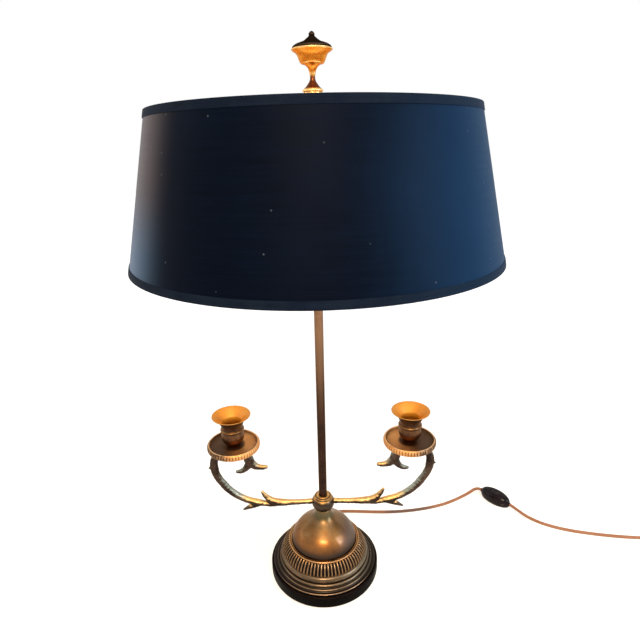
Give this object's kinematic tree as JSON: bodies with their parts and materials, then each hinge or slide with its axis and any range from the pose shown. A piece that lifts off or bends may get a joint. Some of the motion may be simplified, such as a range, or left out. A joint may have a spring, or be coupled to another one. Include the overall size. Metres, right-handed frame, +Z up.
{
  "type": "bouillotte lamp",
  "caption": "Bouillotte table lamp with two twig candle arms, ringed brass foot, black tapered shade on a harp and an in-line cord switch.",
  "frame": {"origin": "middle of the felt under the plinth, on the floor", "axes": "+Z up the stem, +X through both candle cups to the side the cord runs, +Y to the back where the cord leaves"},
  "size_m": [0.6847, 0.3558, 0.5892],
  "materials": {
    "felt": "napped felt",
    "ebonised_wood": "ebonised and polished",
    "iron": "rough cast",
    "aged_brass": "turned, aged and lacquered",
    "cast_brass": "cast and rubbed",
    "steel": "zinc plated",
    "bronze_pipe": "dark bronze patina",
    "brass_wire": "drawn wire",
    "socket_brass": "bright lacquered",
    "liner_card": "fibre sleeve",
    "porcelain": "unglazed",
    "bulb_glass": "frosted",
    "bulb_screw": "rolled thread",
    "shade_card": "black painted card, pale inside",
    "shade_trim": "folded trim",
    "lid_bronze": "dark bronze patina",
    "cord_cloth": "braided rayon",
    "black_plastic": "polished"
  },
  "bodies": {
    "lamp": {"felt_pad": "felt", "plinth": "ebonised_wood", "base_weight": "iron", "foot": "aged_brass", "dome": "aged_brass", "hub": "aged_brass", "candle_cup_left": "aged_brass", "candle_cup_right": "aged_brass", "drip_pan_left": "aged_brass", "drip_pan_right": "aged_brass", "harp_saddle": "aged_brass", "harp_plate": "aged_brass", "lock_nut": "aged_brass", "arm_left": "cast_brass", "arm_right": "cast_brass", "gadroon_band": "cast_brass", "bottom_nut": "steel", "bottom_washer": "steel", "cup_screws": "steel", "switch_screws": "steel", "plug_blades": "steel", "stem_pipe": "bronze_pipe", "harp_wire": "brass_wire", "socket_cap": "socket_brass", "socket_shell": "socket_brass", "socket_liner": "liner_card", "socket_core": "porcelain", "inner_cord": "cord_cloth", "cord_to_switch": "cord_cloth", "cord_to_coil": "cord_cloth", "cord_coil": "cord_cloth", "cord_to_plug": "cord_cloth", "cord_gland": "black_plastic", "switch_lower": "black_plastic", "switch_upper": "black_plastic", "coil_tie": "black_plastic", "plug_body": "black_plastic"},
    "rocker": {"switch_rocker": "black_plastic"},
    "finial": {"finial_base": "aged_brass", "finial_urn": "aged_brass", "finial_lid": "lid_bronze"},
    "shade": {"spider": "brass_wire", "bottom_ring": "brass_wire", "shade_card": "shade_card", "top_trim": "shade_trim", "bottom_trim": "shade_trim"},
    "sleeve_l": {"sleeve_left": "aged_brass"},
    "sleeve_r": {"sleeve_right": "aged_brass"},
    "bulb": {"bulb_glass": "bulb_glass", "bulb_base": "bulb_screw"}
  },
  "joints": [
    {"name": "switch_press", "type": "hinge", "parent": "lamp", "child": "rocker", "pos_m": [0.251, 0.1097, 0.0121], "axis": [0.766, 0.6428, 0], "range_deg": [-7, 7]},
    {"name": "finial_turn", "type": "hinge", "parent": "lamp", "child": "finial", "pos_m": [0, 0, 0.533], "axis": [0, 0, 1], "continuous": true},
    {"name": "shade_turn", "type": "hinge", "parent": "lamp", "child": "shade", "pos_m": [0, 0, 0.5257], "axis": [0, 0, 1], "continuous": true},
    {"name": "sleeve_left_slide", "type": "slide", "parent": "lamp", "child": "sleeve_l", "axis": [0, 0, 1], "range_m": [0, 0.012]},
    {"name": "sleeve_right_slide", "type": "slide", "parent": "lamp", "child": "sleeve_r", "axis": [0, 0, 1], "range_m": [0, 0.012]},
    {"name": "bulb_turn", "type": "hinge", "parent": "lamp", "child": "bulb", "pos_m": [0, 0, 0.385], "axis": [0, 0, 1], "continuous": true}
  ]
}
